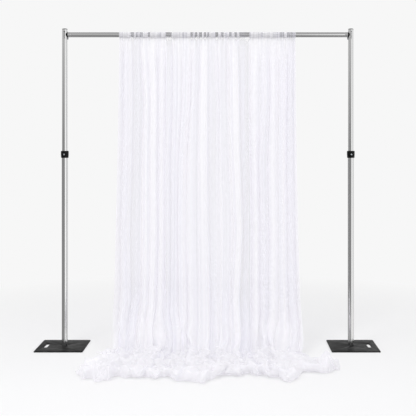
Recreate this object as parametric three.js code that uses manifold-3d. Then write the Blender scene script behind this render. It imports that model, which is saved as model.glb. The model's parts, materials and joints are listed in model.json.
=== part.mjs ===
// A free-standing pipe and drape backdrop: two telescoping uprights on flat steel bases, a crossbar
// that hooks into keyholes near the tops of the uprights, and one sheer drape that hangs from the
// crossbar by its rod pocket and spills over the floor in front.
// Millimetres, Z up, the front of the backdrop faces -Y. The floor is at Z = 0.
import * as THREE from "three";
import { mergeVertices } from "three/addons/utils/BufferGeometryUtils.js";
import Module from "manifold-3d";

const wasm = await Module();
wasm.setup();

// Whole frame
const poleSpacing = 2438;
const uprightHeight = 2709;
const barBelowTop = 53;
const collarFootHeight = 1607;

// Clearances
const seatGap = 0.3;
const slideGap = 0.4;
const cutOverrun = 2;
const mergeDistance = 1e-4;

// Base plate, a square of steel with a hand slot on its outer side
const plateSide = 406;
const plateThick = 6.35;
const plateCorner = 12;
const plateEdge = 0.8;
const poleInset = 17;
const handSlotLength = 120;
const handSlotWidth = 30;
const handSlotToEdge = 67;

// Spigot that the upright stands over, bolted up through the plate
const spigotHeight = 150;
const spigotWall = 3;
const spigotFloor = 14;
const spigotLead = 6;
const boltRadius = 6;
const boltHeadRadius = 11;
const boltHeadSink = 0.6;
const boltRim = 0.8;
const boltReach = 11;
const boltSocketRadius = 3.6;
const boltSocketDepth = 3;

// Upright tubes
const lowerTubeRadius = 25.4;
const lowerTubeWall = 1.65;
const upperTubeRadius = 22.5;
const upperTubeWall = 1.65;
const tubeOverlap = 474.7;
const capRise = 8;
const capStub = 12;
const capWall = 2.5;
const capRim = 3;
const bushFlange = 12;
const bushStub = 25;
const bushWall = 4.5;
const bushLead = 1.5;

// Four keyholes around the top of each upper tube
const keyholeWidth = 5;
const keyholeHeadRadius = 5.5;
const keyholeHeadRise = 26;
const keyholeDrop = 36;

// Height lock: a collar on the lower tube with a spring-loaded plate that pinches the upper tube
const collarHeight = 60;
const collarFootRadius = 31;
const collarWaistRadius = 32;
const collarCapRadius = 33;
const collarSplit = 20;
const collarNeckTop = 27;
const collarNeckRadius = 29.4;
const collarSeat = 22;
const collarChamfer = 1.5;
const collarRounding = 5;
const lockPlateThick = 4;
const lockPlateRadius = 27;
const lockStroke = 2.4;
const tongueWidth = 10;
const tongueReach = 29;
const buttonRadius = 6.5;
const buttonStemRadius = 2;
const buttonSeat = 31.5;
const buttonProud = 3;
const buttonRounding = 1.2;
const buttonDome = 0.4;
const springSpan = 34;
const springRise = 2.9;
const springThick = 0.5;
const collarRivetHeight = 11;
const collarRivetReach = 23.9;
const rivetRadius = 2.4;
const rivetHeadRadius = 4.6;
const rivetHeadRise = 1.6;

// Crossbar, two lengths of tube over one joining sleeve
const barRadius = 21.3;
const barWall = 1.5;
const barEndGap = 27;
const barMiddleGap = 0.6;
const crimpFromEnd = 25;
const crimpHalfWidth = 2.6;
const crimpDepth = 0.9;
const sleeveLength = 220;
const sleeveWall = 2;
const joinerRivetNear = 40;
const joinerRivetFar = 80;
const joinerHeadRadius = 3.6;
const joinerHeadThick = 1.2;
const joinerTail = 1.4;
const snapPlace = 60;
const snapRadius = 4.5;
const snapProud = 0.7;
const snapRounding = 0.8;
const snapFlangeRadius = 6;
const snapFlangeThick = 1.8;
const snapSpringThick = 0.8;
const snapSpringWidth = 10;
const snapSpringLength = 63;
const snapPadLength = 18;

// End plugs, coped to sit against the upright, and their steel hooks
const plugLip = 12;
const plugStub = 45;
const hookThick = 3;
const hookSlotThick = 3.6;
const hookLift = 26;
const hookTop = 4;
const hookFingerIn = 12;
const hookFingerDrop = 14;
const hookTail = 5.3;
const hookTailWidth = 8;
const hookCorner = 2.5;
const hookShankBottom = 14;
const hookShankTop = 12;
const hookShankRise = 7;
const hookShankLength = 60;
const hookPinPlace = 45;
const hookPinRadius = 2.5;
const hookPinLength = 33;

// Drape: pocket around the bar, hanging panel and the cloth that lies on the floor
const drapeLeft = 754;
const drapeRight = 749;
const drapeFlareLeft = 18;
const drapeFlareRight = 36;
const pocketSlack = 1.4;
const pocketWall = 1.2;
const pocketGather = 0.8;
const pocketGathers = 18;
const panelThick = 1.6;
const panelTopWave = 9;
const panelWave = 34;
const panelFootWave = 46;
const panelSettle = 160;
const panelSweep = 280;
const panelSweepHeight = 445;
const puddleToLeftPole = 232;
const puddleToRightPole = 137;
const puddleReach = 1210;
const puddleHeight = 40;
const puddleWrinkle = 16;
const puddleRoll = 30;
const puddleRollToHem = 125;
const puddleRollWidth = 65;
const puddleHemSlope = 55;
const puddleLedge = 55;
const puddleLedgeMargin = 50;
const puddleBedMargin = 22;
const puddleLedgeFade = 110;
const puddleHem = 5;

// Shares and counts
const roundSteps = 24;
const smallRoundSteps = 12;
const cornerSteps = 3;
const pocketSteps = 14;
// Where the ridges of the main folds lie across the panel, at the pocket and at the floor
const ridgeTopShares = [
  0, 0.045, 0.14, 0.188, 0.24, 0.325, 0.395, 0.485, 0.54, 0.592, 0.66, 0.772, 0.85, 0.92, 1,
];
const ridgeFootShares = [
  0, 0.035, 0.075, 0.14, 0.238, 0.318, 0.41, 0.486, 0.545, 0.6, 0.665, 0.768, 0.838, 0.9, 1,
];
// Heights of the panel's rows, as shares of its drop
const panelRowShares = [0, 0.03, 0.065, 0.4, 0.8, 0.86, 0.905, 0.94, 0.972, 1];
// How late the foot of the panel sweeps forward
const panelSweepShare = 2.4;
// Outline of the cloth on the floor, from its left end to its right one. First x: -1 to 1 under the
// foot of the panel, up to -2 and 2 at the ends. Then the back and the front edge: 0 just behind the
// foot of the panel, 1 at the whole reach
const puddleColumnShares = [
  [-2, 0.725, 0.765], [-1.9, 0.666, 0.804], [-1.74, 0.588, 0.84], [-1.47, 0.467, 0.873],
  [-1.28, 0.334, 0.913], [-1.16, 0.175, 0.927], [-1.06, 0.04, 0.932], [-1, 0, 0.93],
  [-0.95, 0, 0.925], [-0.894, 0, 0.909], [-0.792, 0, 0.818], [-0.631, 0, 0.861],
  [-0.494, 0, 0.861], [-0.359, 0, 0.849], [-0.262, 0, 0.909], [-0.169, 0, 0.96],
  [-0.079, 0, 0.988], [0.012, 0, 1], [0.095, 0, 0.847], [0.186, 0, 0.798],
  [0.322, 0, 0.772], [0.438, 0, 0.782], [0.548, 0, 0.798], [0.635, 0, 0.822],
  [0.701, 0, 0.908], [0.773, 0, 0.972], [0.843, 0, 0.915], [0.919, 0, 0.745],
  [1, 0, 0.697], [1.05, 0.03, 0.697], [1.13, 0.151, 0.695], [1.28, 0.224, 0.699],
  [1.55, 0.272, 0.705], [1.77, 0.297, 0.684], [1.92, 0.321, 0.612], [2, 0.37, 0.479],
];
const puddleRowShares = [0, 0.015, 0.1, 0.2, 0.3, 0.4, 0.5, 0.6, 0.69, 0.77, 0.84, 0.9, 0.95, 0.985, 1];

const QUARTER = Math.PI / 2;
const TURN = Math.PI * 2;

// Sizes that follow from the ones above
const lowerTubeTop = collarFootHeight + collarSeat - seatGap;
const lowerTubeFoot = plateThick + seatGap;
const upperTubeTop = uprightHeight - capRise;
const upperTubeFoot = lowerTubeTop - tubeOverlap;
const barHeight = uprightHeight - barBelowTop;
const lowerTubeBore = lowerTubeRadius - lowerTubeWall;
const upperTubeBore = upperTubeRadius - upperTubeWall;
const barBore = barRadius - barWall;
const poleX = poleSpacing / 2;
const barEndX = poleX - barEndGap;
const slotFoot = barHeight - keyholeDrop;
const slotHalf = keyholeWidth / 2;
const hookSeat = slotHalf - Math.sqrt(slotHalf * slotHalf - (hookThick * hookThick) / 4) + seatGap;
const hookFace = upperTubeRadius + slideGap;
const hookTailOut = hookFace + hookTailWidth;
const pocketInside = (barRadius + seatGap + pocketSlack) / Math.cos(Math.PI / pocketSteps);
const pocketOutside = pocketInside + pocketWall + pocketGather;
const pocketHeight = barHeight - pocketSlack;
const panelFoot = puddleLedge + seatGap;
const ledgeFront = panelSweep + panelFootWave + panelThick + puddleLedgeMargin;
const bedBack = panelSweep - panelFootWave - puddleBedMargin;
const bedLeft = drapeLeft + drapeFlareLeft + puddleBedMargin;
const bedRight = drapeRight + drapeFlareRight + puddleBedMargin;
const puddleLeft = poleX - puddleToLeftPole;
const puddleRight = poleX - puddleToRightPole;
const slotHead = barHeight + keyholeHeadRise;

// Materials
const finish = (color, roughness, metalness) =>
  new THREE.MeshStandardMaterial({ color, roughness, metalness });
const satinAluminium = finish(0xc4c6c8, 0.34, 1);
const blackPowderCoat = finish(0x2b2c2e, 0.55, 0.3);
const blackNylon = finish(0x141416, 0.38, 0);
const brightSteel = finish(0xb4b7ba, 0.28, 1);
const springSteel = finish(0x8f9296, 0.35, 1);
const sheerWhite = finish(0xf6f6fb, 0.85, 0);

const group = new THREE.Group();
const pieces = new THREE.Group();
group.add(pieces);

// A three.js geometry as one closed solid
function solid(geometry) {
  const bare = geometry.index ? geometry.toNonIndexed() : geometry.clone();
  bare.deleteAttribute("normal");
  bare.deleteAttribute("uv");
  const merged = mergeVertices(bare, mergeDistance);
  const index = merged.index.array;
  const triVerts = [];
  for (let i = 0; i < index.length; i += 3) {
    const [a, b, c] = [index[i], index[i + 1], index[i + 2]];
    if (a !== b && b !== c && c !== a) triVerts.push(a, b, c);
  }
  const vertProperties = merged.attributes.position.array;
  return new wasm.Manifold(
    new wasm.Mesh({ numProp: 3, vertProperties, triVerts: new Uint32Array(triVerts) }),
  );
}

// A closed solid as a three.js geometry
function surface(made) {
  const { vertProperties, triVerts } = made.getMesh();
  const geometry = new THREE.BufferGeometry();
  geometry.setAttribute("position", new THREE.BufferAttribute(vertProperties, 3));
  geometry.setIndex(new THREE.BufferAttribute(triVerts, 1));
  geometry.computeVertexNormals();
  return geometry;
}

function cut(geometry, ...tools) {
  return surface(tools.reduce((left, tool) => left.subtract(solid(tool)), solid(geometry)));
}

function join(geometry, ...others) {
  return surface(others.reduce((sum, other) => sum.add(solid(other)), solid(geometry)));
}

function place(parent, name, geometry, material) {
  const mesh = new THREE.Mesh(geometry, material);
  mesh.name = name;
  parent.add(mesh);
  return mesh;
}

// A profile of [radius, height] pairs turned about Z: up the outside, down the inside
function turned(profile, steps = roundSteps) {
  const points = profile.map(([radius, height]) => new THREE.Vector2(radius, height));
  const [first] = profile;
  if (first[0] > 0) points.push(new THREE.Vector2(first[0], first[1]));
  return new THREE.LatheGeometry(points, steps).rotateX(QUARTER);
}

function ring(outer, inner, low, high, steps) {
  return turned([[outer, low], [outer, high], [inner, high], [inner, low]], steps);
}

function rod(radius, low, high, steps = smallRoundSteps) {
  return turned([[0, low], [radius, low], [radius, high], [0, high]], steps);
}

// Points of a quarter round from the side of a turned piece to its top
function rounded(radius, height, rounding) {
  const points = [];
  for (let i = 0; i <= cornerSteps; i += 1) {
    const angle = (QUARTER * i) / cornerSteps;
    points.push([
      radius - rounding + rounding * Math.cos(angle),
      height - rounding + rounding * Math.sin(angle),
    ]);
  }
  return points;
}

// Turned pieces laid over: their height runs along -Y, +Y or +X
const toFront = (geometry) => geometry.rotateX(QUARTER);
const toBack = (geometry) => geometry.rotateX(-QUARTER);
const toRight = (geometry) => geometry.rotateY(QUARTER);

function extruded(shape, depth) {
  return new THREE.ExtrudeGeometry(shape, {
    depth,
    bevelEnabled: false,
    curveSegments: cornerSteps * 2,
  });
}

// An outline in X and Z, centred on Y = 0
function upright(shape, thick) {
  return extruded(shape, thick).translate(0, 0, -thick / 2).rotateX(QUARTER);
}

function outline(points) {
  return new THREE.Shape(points.map(([x, y]) => new THREE.Vector2(x, y)));
}

function box(left, right, front, back, low, high) {
  return new THREE.BoxGeometry(right - left, back - front, high - low).translate(
    (left + right) / 2,
    (front + back) / 2,
    (low + high) / 2,
  );
}

function roundedSquare(side, corner) {
  const half = side / 2;
  const straight = half - corner;
  const shape = new THREE.Shape();
  shape.absarc(straight, straight, corner, 0, QUARTER);
  shape.absarc(-straight, straight, corner, QUARTER, 2 * QUARTER);
  shape.absarc(-straight, -straight, corner, 2 * QUARTER, 3 * QUARTER);
  shape.absarc(straight, -straight, corner, 3 * QUARTER, 4 * QUARTER);
  return shape;
}

// Base plate, with the pole's axis at the origin and the hand slot on the +X side
function basePlate() {
  const shape = roundedSquare(plateSide - 2 * plateEdge, plateCorner);
  const slot = new THREE.Path();
  const slotX = plateSide / 2 - handSlotToEdge;
  const slotRadius = handSlotWidth / 2 + plateEdge;
  const slotEnd = handSlotLength / 2 - handSlotWidth / 2;
  slot.absarc(slotX, slotEnd, slotRadius, 0, 2 * QUARTER);
  slot.absarc(slotX, -slotEnd, slotRadius, 2 * QUARTER, 4 * QUARTER);
  shape.holes.push(slot);
  const plate = new THREE.ExtrudeGeometry(shape, {
    depth: plateThick - 2 * plateEdge,
    bevelThickness: plateEdge,
    bevelSize: plateEdge,
    bevelSegments: 1,
    curveSegments: cornerSteps * 2,
  }).translate(poleInset, 0, plateEdge);
  const bore = boltRadius + seatGap;
  const headTop = boltHeadSink + boltRim + boltHeadRadius - boltRadius;
  const countersink = turned([
    [0, -cutOverrun],
    [boltHeadRadius + seatGap, -cutOverrun],
    [boltHeadRadius + seatGap, boltHeadSink + boltRim],
    [bore, headTop],
    [bore, plateThick + cutOverrun],
    [0, plateThick + cutOverrun],
  ]);
  return cut(plate, countersink);
}

function spigotBolt() {
  const rim = boltHeadSink + boltRim;
  const bolt = turned([
    [0, boltHeadSink],
    [boltHeadRadius, boltHeadSink],
    [boltHeadRadius, rim],
    [boltRadius, rim + boltHeadRadius - boltRadius],
    [boltRadius, plateThick + boltReach],
    [0, plateThick + boltReach],
  ]);
  const hexagon = 6;
  return cut(bolt, rod(boltSocketRadius, -cutOverrun, boltHeadSink + boltSocketDepth, hexagon));
}

function baseSpigot() {
  const radius = lowerTubeBore - slideGap;
  const inside = radius - spigotWall;
  const foot = plateThick + seatGap;
  const top = plateThick + spigotHeight;
  const bore = boltRadius + seatGap;
  return turned([
    [radius, foot],
    [radius, top - spigotLead],
    [inside + spigotWall / 2, top],
    [inside, top],
    [inside, foot + spigotFloor],
    [bore, foot + spigotFloor],
    [bore, foot],
  ]);
}

function lowerTube() {
  const tube = ring(lowerTubeRadius, lowerTubeBore, lowerTubeFoot, lowerTubeTop);
  const hole = toBack(rod(rivetRadius + seatGap, 0, lowerTubeRadius + cutOverrun));
  return cut(tube, hole.translate(0, 0, collarFootHeight + collarRivetHeight));
}

// Keyhole seen from outside the tube: a round head over a narrow slot with a round foot
function keyhole() {
  const open = Math.asin(slotHalf / keyholeHeadRadius);
  const shape = new THREE.Shape();
  shape.absarc(0, slotFoot + slotHalf, slotHalf, 2 * QUARTER, 4 * QUARTER);
  shape.absarc(0, slotHead, keyholeHeadRadius, open - QUARTER, 3 * QUARTER - open);
  return upright(shape, 2 * (upperTubeRadius + cutOverrun));
}

function upperTube() {
  const tube = ring(upperTubeRadius, upperTubeBore, upperTubeFoot, upperTubeTop);
  return cut(tube, keyhole(), keyhole().rotateZ(QUARTER));
}

function topCap() {
  const stub = upperTubeBore - seatGap;
  const foot = upperTubeTop - capStub;
  const seat = upperTubeTop + seatGap;
  const dome = [];
  for (let i = 0; i <= cornerSteps; i += 1) {
    const angle = (QUARTER * i) / cornerSteps;
    const rise = (capRise - capRim) * Math.sin(angle);
    dome.push([upperTubeRadius * Math.cos(angle), upperTubeTop + capRim + rise]);
  }
  dome[cornerSteps][0] = 0;
  const inside = upperTubeTop + capRim - seatGap;
  return turned([
    [stub, foot],
    [stub, seat],
    [upperTubeRadius, seat],
    ...dome,
    [0, inside],
    [stub - capWall, inside],
    [stub - capWall, foot],
  ]);
}

// Nylon bush in the foot of the upper tube, which runs in the lower tube's bore
function guideBush() {
  const flange = lowerTubeBore - seatGap;
  const stub = upperTubeBore - seatGap;
  const seat = upperTubeFoot - seatGap;
  const foot = seat - bushFlange;
  return turned([
    [flange - bushLead, foot],
    [flange, foot + bushLead],
    [flange, seat],
    [stub, seat],
    [stub, seat + bushStub],
    [stub - bushWall, seat + bushStub],
    [stub - bushWall, foot],
  ]);
}

// Height lock, in the collar's own frame: its foot is at the origin
const lockPlateLow = collarNeckTop + seatGap;
const buttonHeight = lockPlateLow + lockPlateThick / 2;
const lockCavityTop = lockPlateLow + lockPlateThick + seatGap;
const lockHole = upperTubeRadius + lockStroke / 2 + seatGap;
const lockShift = lockStroke / 2;
const capBore = upperTubeRadius + seatGap;
const capSkirt = collarNeckRadius + seatGap;

function buttonWindow() {
  const window = rod(buttonRadius + slideGap, buttonSeat - lockStroke - slideGap - seatGap,
    collarCapRadius + cutOverrun, roundSteps);
  return toFront(window).translate(0, 0, buttonHeight);
}

function collarBody() {
  const bore = lowerTubeRadius + seatGap;
  const body = turned([
    [collarFootRadius - collarChamfer, 0],
    [collarFootRadius, collarChamfer],
    [collarWaistRadius, collarSplit],
    [collarNeckRadius, collarSplit],
    [collarNeckRadius, collarNeckTop],
    [capBore + slideGap, collarNeckTop],
    [capBore + slideGap, collarSeat],
    [bore, collarSeat],
    [bore, 0],
  ]);
  const rivetHole = toBack(rod(rivetRadius + seatGap, 0, collarWaistRadius + cutOverrun));
  return cut(body, buttonWindow(), rivetHole.translate(0, 0, collarRivetHeight));
}

function collarCap() {
  const foot = collarSplit + seatGap;
  const cap = turned([
    [collarCapRadius - collarChamfer, foot],
    [collarCapRadius, foot + collarChamfer],
    ...rounded(collarCapRadius, collarHeight, collarRounding),
    [capBore + collarChamfer, collarHeight],
    [capBore, collarHeight - collarChamfer],
    [capBore, lockCavityTop],
    [capSkirt, lockCavityTop],
    [capSkirt, foot],
  ]);
  return cut(cap, buttonWindow());
}

// Steel plate with a hole a little larger than the upper tube, and a tongue that carries the button
function lockPlate() {
  const half = tongueWidth / 2;
  const open = Math.asin(half / lockPlateRadius);
  const shape = new THREE.Shape();
  shape.absarc(0, -lockShift, lockPlateRadius, open - QUARTER, 3 * QUARTER - open);
  shape.lineTo(-half, -tongueReach);
  shape.lineTo(half, -tongueReach);
  const hole = new THREE.Path();
  hole.absarc(0, -lockShift, lockHole, 0, TURN);
  shape.holes.push(hole);
  const plate = new THREE.ExtrudeGeometry(shape, {
    depth: lockPlateThick,
    bevelEnabled: false,
    curveSegments: roundSteps,
  });
  return plate.translate(0, 0, lockPlateLow);
}

function releaseButton() {
  const tip = collarCapRadius + buttonProud;
  const button = turned([
    [0, tongueReach + seatGap],
    [buttonStemRadius, tongueReach + seatGap],
    [buttonStemRadius, buttonSeat],
    [buttonRadius, buttonSeat],
    ...rounded(buttonRadius, tip, buttonRounding),
    [0, tip + buttonDome],
  ], smallRoundSteps);
  return toFront(button).translate(0, 0, buttonHeight);
}

// Bowed strip between the back of the lock plate and the wall of the cap
function lockSpring() {
  const half = springSpan / 2;
  const radius = (half * half + springRise * springRise) / (2 * springRise);
  const inner = lockPlateRadius - lockShift + seatGap;
  const centre = inner - radius;
  const reach = Math.asin(half / radius);
  const shape = new THREE.Shape();
  shape.absarc(0, centre, radius + springThick, QUARTER - reach, QUARTER + reach);
  shape.absarc(0, centre, radius, QUARTER + reach, QUARTER - reach, true);
  return extruded(shape, lockPlateThick).translate(0, 0, lockPlateLow);
}

function domedRivet(tail, seat) {
  return turned([
    [0, tail],
    [rivetRadius, tail],
    [rivetRadius, seat],
    [rivetHeadRadius, seat],
    [rivetHeadRadius * Math.SQRT1_2, seat + rivetHeadRise * Math.SQRT1_2],
    [0, seat + rivetHeadRise],
  ], smallRoundSteps);
}

// One upright with its base. Side is -1 at the left and 1 at the right
function uprightGroup(side, label) {
  const stand = new THREE.Group();
  stand.position.x = side * poleX;
  const base = new THREE.Group();
  base.rotation.z = side < 0 ? 2 * QUARTER : 0;
  place(base, label + "_base_plate", basePlate(), blackPowderCoat);
  place(base, label + "_base_spigot", baseSpigot(), brightSteel);
  place(base, label + "_spigot_bolt", spigotBolt(), brightSteel);
  stand.add(base);
  place(stand, label + "_lower_tube", lowerTube(), satinAluminium);
  place(stand, label + "_upper_tube", upperTube(), satinAluminium);
  place(stand, label + "_top_cap", topCap(), blackNylon);
  place(stand, label + "_guide_bush", guideBush(), blackNylon);
  const lock = new THREE.Group();
  lock.position.z = collarFootHeight;
  place(lock, label + "_collar_body", collarBody(), blackNylon);
  place(lock, label + "_collar_cap", collarCap(), blackNylon);
  place(lock, label + "_lock_plate", lockPlate(), springSteel);
  place(lock, label + "_lock_spring", lockSpring(), springSteel);
  place(lock, label + "_release_button", releaseButton(), brightSteel);
  const rivet = toBack(domedRivet(collarRivetReach, collarWaistRadius));
  place(lock, label + "_collar_rivet", rivet.translate(0, 0, collarRivetHeight), brightSteel);
  stand.add(lock);
  return stand;
}

// A radial hole in the bar, through its back wall
function backHole(x, radius) {
  return toBack(rod(radius, 0, barRadius + cutOverrun)).translate(x, 0, 0);
}

// Half of the crossbar, with the rolled crimp that holds its plug and a slot for the hook's tail
function barHalf(side) {
  const crimp = barEndX - crimpFromEnd;
  const from = barMiddleGap / 2;
  const outer = [
    [barRadius, from],
    [barRadius, crimp - crimpHalfWidth],
    [barRadius - crimpDepth, crimp],
    [barRadius, crimp + crimpHalfWidth],
    [barRadius, barEndX],
  ];
  const inner = outer.map(([radius, along]) => [radius - barWall, along]).reverse();
  const across = hookSlotThick / 2;
  const slot = box(poleX - hookTailOut - seatGap, poleX, -across, across, -2 * barRadius, 0);
  const tube = cut(toRight(turned([...outer, ...inner])), slot);
  if (side > 0) return cut(tube, backHole(snapPlace, snapRadius + seatGap));
  const mirrored = tube.rotateZ(2 * QUARTER);
  const seats = [joinerRivetNear, joinerRivetFar].map((along) =>
    backHole(-along, joinerHeadRadius + seatGap),
  );
  return cut(mirrored, ...seats);
}

function joinerSleeve() {
  const outer = barBore - seatGap;
  const half = sleeveLength / 2;
  const tube = toRight(ring(outer, outer - sleeveWall, -half, half));
  const holes = [joinerRivetNear, joinerRivetFar].map((along) =>
    backHole(-along, rivetRadius + seatGap),
  );
  return cut(tube, ...holes, backHole(snapPlace, snapRadius + seatGap));
}

// Flush rivet through the bar's wall into the sleeve
function joinerRivet(along) {
  const outer = barRadius;
  const seat = outer - joinerHeadThick;
  const tail = barBore - seatGap - sleeveWall - joinerTail;
  const rivet = turned([
    [0, tail],
    [rivetRadius, tail],
    [rivetRadius, seat],
    [joinerHeadRadius, seat],
    [joinerHeadRadius, outer],
    [0, outer],
  ], smallRoundSteps);
  return toBack(rivet).translate(-along, 0, 0);
}

const snapFlangeTop = barBore - seatGap - sleeveWall - snapFlangeThick;

function snapButton() {
  const tip = barRadius + snapProud;
  const flangeFoot = snapFlangeTop - snapFlangeThick;
  const button = turned([
    [0, flangeFoot],
    [snapFlangeRadius, flangeFoot],
    [snapFlangeRadius, snapFlangeTop],
    [snapRadius, snapFlangeTop],
    ...rounded(snapRadius, tip, snapRounding),
    [0, tip],
  ], smallRoundSteps);
  return toBack(button).translate(snapPlace, 0, 0);
}

// V-shaped strip inside the sleeve: one leg lifts the snap button, the other bears on the front wall
function snapSpring() {
  const half = snapSpringThick / 2;
  const end = snapPlace + snapPadLength / 2;
  const start = end - snapSpringLength;
  const padTop = snapFlangeTop - snapFlangeThick - seatGap;
  const pad = padTop - half;
  const bore = barBore - seatGap - sleeveWall;
  const front = seatGap - Math.sqrt(bore * bore - (snapSpringWidth * snapSpringWidth) / 4) + half;
  const knee = end - snapPadLength;
  const shape = outline([
    [start - half, 0],
    [knee, pad - half * 2],
    [end, pad - half],
    [end, pad + half],
    [knee, pad + half],
    [start, half * 2],
    [start - snapSpringThick * 2, 0],
    [start, -half * 2],
    [end, front],
    [end, front + half * 2],
  ]);
  return extruded(shape, snapSpringWidth).translate(0, 0, -snapSpringWidth / 2);
}

// Bar end, in a frame whose origin is on the upright's axis and whose +X runs along the bar
function endPlug() {
  const stub = barBore - seatGap;
  const crimp = barEndGap + crimpFromEnd;
  const plug = toRight(turned([
    [0, plugLip],
    [barRadius, plugLip],
    [barRadius, barEndGap - seatGap],
    [stub, barEndGap - seatGap],
    [stub, crimp - crimpHalfWidth - seatGap],
    [stub - crimpDepth, crimp],
    [stub, crimp + crimpHalfWidth + seatGap],
    [stub, barEndGap + plugStub],
    [0, barEndGap + plugStub],
  ]));
  const saddle = rod(hookFace, -2 * barRadius, 2 * barRadius, roundSteps);
  const side = hookSlotThick / 2;
  const shankSlot = box(0, hookShankLength + seatGap, -side, side,
    -hookShankBottom - seatGap, hookShankTop + seatGap);
  const tailSlot = box(0, hookTailOut + seatGap, -side, side, -2 * barRadius, 0);
  const pinHole = rod(hookPinRadius + seatGap, -hookPinLength / 2 - seatGap,
    hookPinLength / 2 + seatGap);
  return cut(plug, saddle, shankSlot, tailSlot, toBack(pinHole).translate(hookPinPlace, 0, 0));
}

// Blade cut from plate: shank in the plug, neck through the keyhole, finger down inside the upright
function hook() {
  const rest = hookSeat - keyholeDrop;
  const inside = upperTubeBore - 2 * seatGap;
  const tail = rest - hookTail;
  const tip = rest - hookFingerDrop;
  const shape = outline([
    [hookFingerIn, hookTop],
    [hookFingerIn, tip + hookCorner],
    [hookFingerIn + hookCorner, tip],
    [inside - hookCorner, tip],
    [inside, tip + hookCorner],
    [inside, rest],
    [hookFace, rest],
    [hookFace, tail],
    [hookTailOut - hookCorner, tail],
    [hookTailOut, tail + hookCorner],
    [hookTailOut, -hookShankBottom],
    [hookShankLength, -hookShankBottom],
    [hookShankLength, hookShankTop],
    [hookFace + hookShankRise, hookShankTop],
    [hookFace, hookTop],
  ]);
  const blade = upright(shape, hookThick);
  const pinHole = rod(hookPinRadius + seatGap, -hookThick, hookThick);
  return cut(blade, toBack(pinHole).translate(hookPinPlace, 0, 0));
}

function hookPin() {
  return toBack(rod(hookPinRadius, -hookPinLength / 2, hookPinLength / 2))
    .translate(hookPinPlace, 0, 0);
}

function barEnd(side, label) {
  const end = new THREE.Group();
  end.position.x = side * poleX;
  end.rotation.z = side > 0 ? 2 * QUARTER : 0;
  place(end, label + "_end_plug", endPlug(), blackNylon);
  place(end, label + "_hook", hook(), springSteel);
  place(end, label + "_hook_pin", hookPin(), brightSteel);
  return end;
}

function crossbarGroup() {
  const bar = new THREE.Group();
  bar.position.z = barHeight;
  place(bar, "crossbar_left_tube", barHalf(-1), satinAluminium);
  place(bar, "crossbar_right_tube", barHalf(1), satinAluminium);
  place(bar, "joiner_sleeve", joinerSleeve(), satinAluminium);
  place(bar, "joiner_inner_rivet", joinerRivet(joinerRivetNear), brightSteel);
  place(bar, "joiner_outer_rivet", joinerRivet(joinerRivetFar), brightSteel);
  place(bar, "joiner_button", snapButton(), brightSteel);
  place(bar, "joiner_spring", snapSpring(), springSteel);
  bar.add(barEnd(-1, "left"));
  bar.add(barEnd(1, "right"));
  return bar;
}

// A closed skin from a list of points and a list of quads and triangles
function skin(points, faces) {
  const geometry = new THREE.BufferGeometry();
  const index = faces.flatMap(([a, b, c, d]) => (d === undefined ? [a, b, c] : [a, b, c, a, c, d]));
  geometry.setAttribute("position", new THREE.Float32BufferAttribute(points.flat(), 3));
  geometry.setIndex(index);
  geometry.computeVertexNormals();
  return geometry;
}

// Rod pocket: a sleeve of cloth around the bar, gathered along its length
function drapePocket() {
  const rings = pocketGathers * 2;
  const points = [];
  const faces = [];
  const ringPoints = (x, radius) => {
    for (let k = 0; k < pocketSteps; k += 1) {
      const angle = (TURN * k) / pocketSteps;
      points.push([x, -radius * Math.sin(angle), pocketHeight - radius * Math.cos(angle)]);
    }
  };
  for (let i = 0; i <= rings; i += 1) {
    const x = -drapeLeft + ((drapeLeft + drapeRight) * i) / rings;
    ringPoints(x, pocketOutside - (i % 2) * pocketGather);
  }
  ringPoints(-drapeLeft, pocketInside);
  ringPoints(drapeRight, pocketInside);
  const near = (rings + 1) * pocketSteps;
  const far = near + pocketSteps;
  for (let k = 0; k < pocketSteps; k += 1) {
    const next = (k + 1) % pocketSteps;
    for (let i = 0; i < rings; i += 1) {
      const here = i * pocketSteps;
      const there = here + pocketSteps;
      faces.push([here + k, there + k, there + next, here + next]);
    }
    const last = rings * pocketSteps;
    faces.push([last + k, far + k, far + next, last + next]);
    faces.push([far + k, near + k, near + next, far + next]);
    faces.push([near + k, k, next, near + next]);
  }
  return skin(points, faces);
}

// Middle surface of the hanging cloth, and its thickness along Y: fold counts the quarter folds
// across, drop runs 0 to 1
function panelPoint(fold, drop) {
  const top = pocketHeight - pocketOutside - seatGap;
  const z = top - (top - panelFoot) * drop;
  const ridge = Math.floor(fold / 4);
  const within = fold / 4 - ridge;
  const across = (shares) => {
    const next = shares[Math.min(ridge + 1, shares.length - 1)];
    return shares[ridge] + (next - shares[ridge]) * within;
  };
  const topX = -drapeLeft + (drapeLeft + drapeRight) * across(ridgeTopShares);
  const footWidth = drapeLeft + drapeRight + drapeFlareLeft + drapeFlareRight;
  const footX = -drapeLeft - drapeFlareLeft + footWidth * across(ridgeFootShares);
  const settle = Math.min(1, (top - z) / panelSettle);
  const hang = panelTopWave + (panelWave - panelTopWave) * settle;
  const wave = hang + (panelFootWave - panelWave) * drop * drop;
  const low = Math.max(0, 1 - (z - panelFoot) / panelSweepHeight);
  const x = topX + (footX - topX) * Math.pow(drop, 1.5);
  const y = -wave * Math.cos(TURN * within) - panelSweep * Math.pow(low, panelSweepShare);
  const slope = panelSweep * panelSweepShare * Math.pow(low, panelSweepShare - 1);
  const thick = panelThick * Math.hypot(1, slope / panelSweepHeight);
  return [x, y, z, thick];
}

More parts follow.
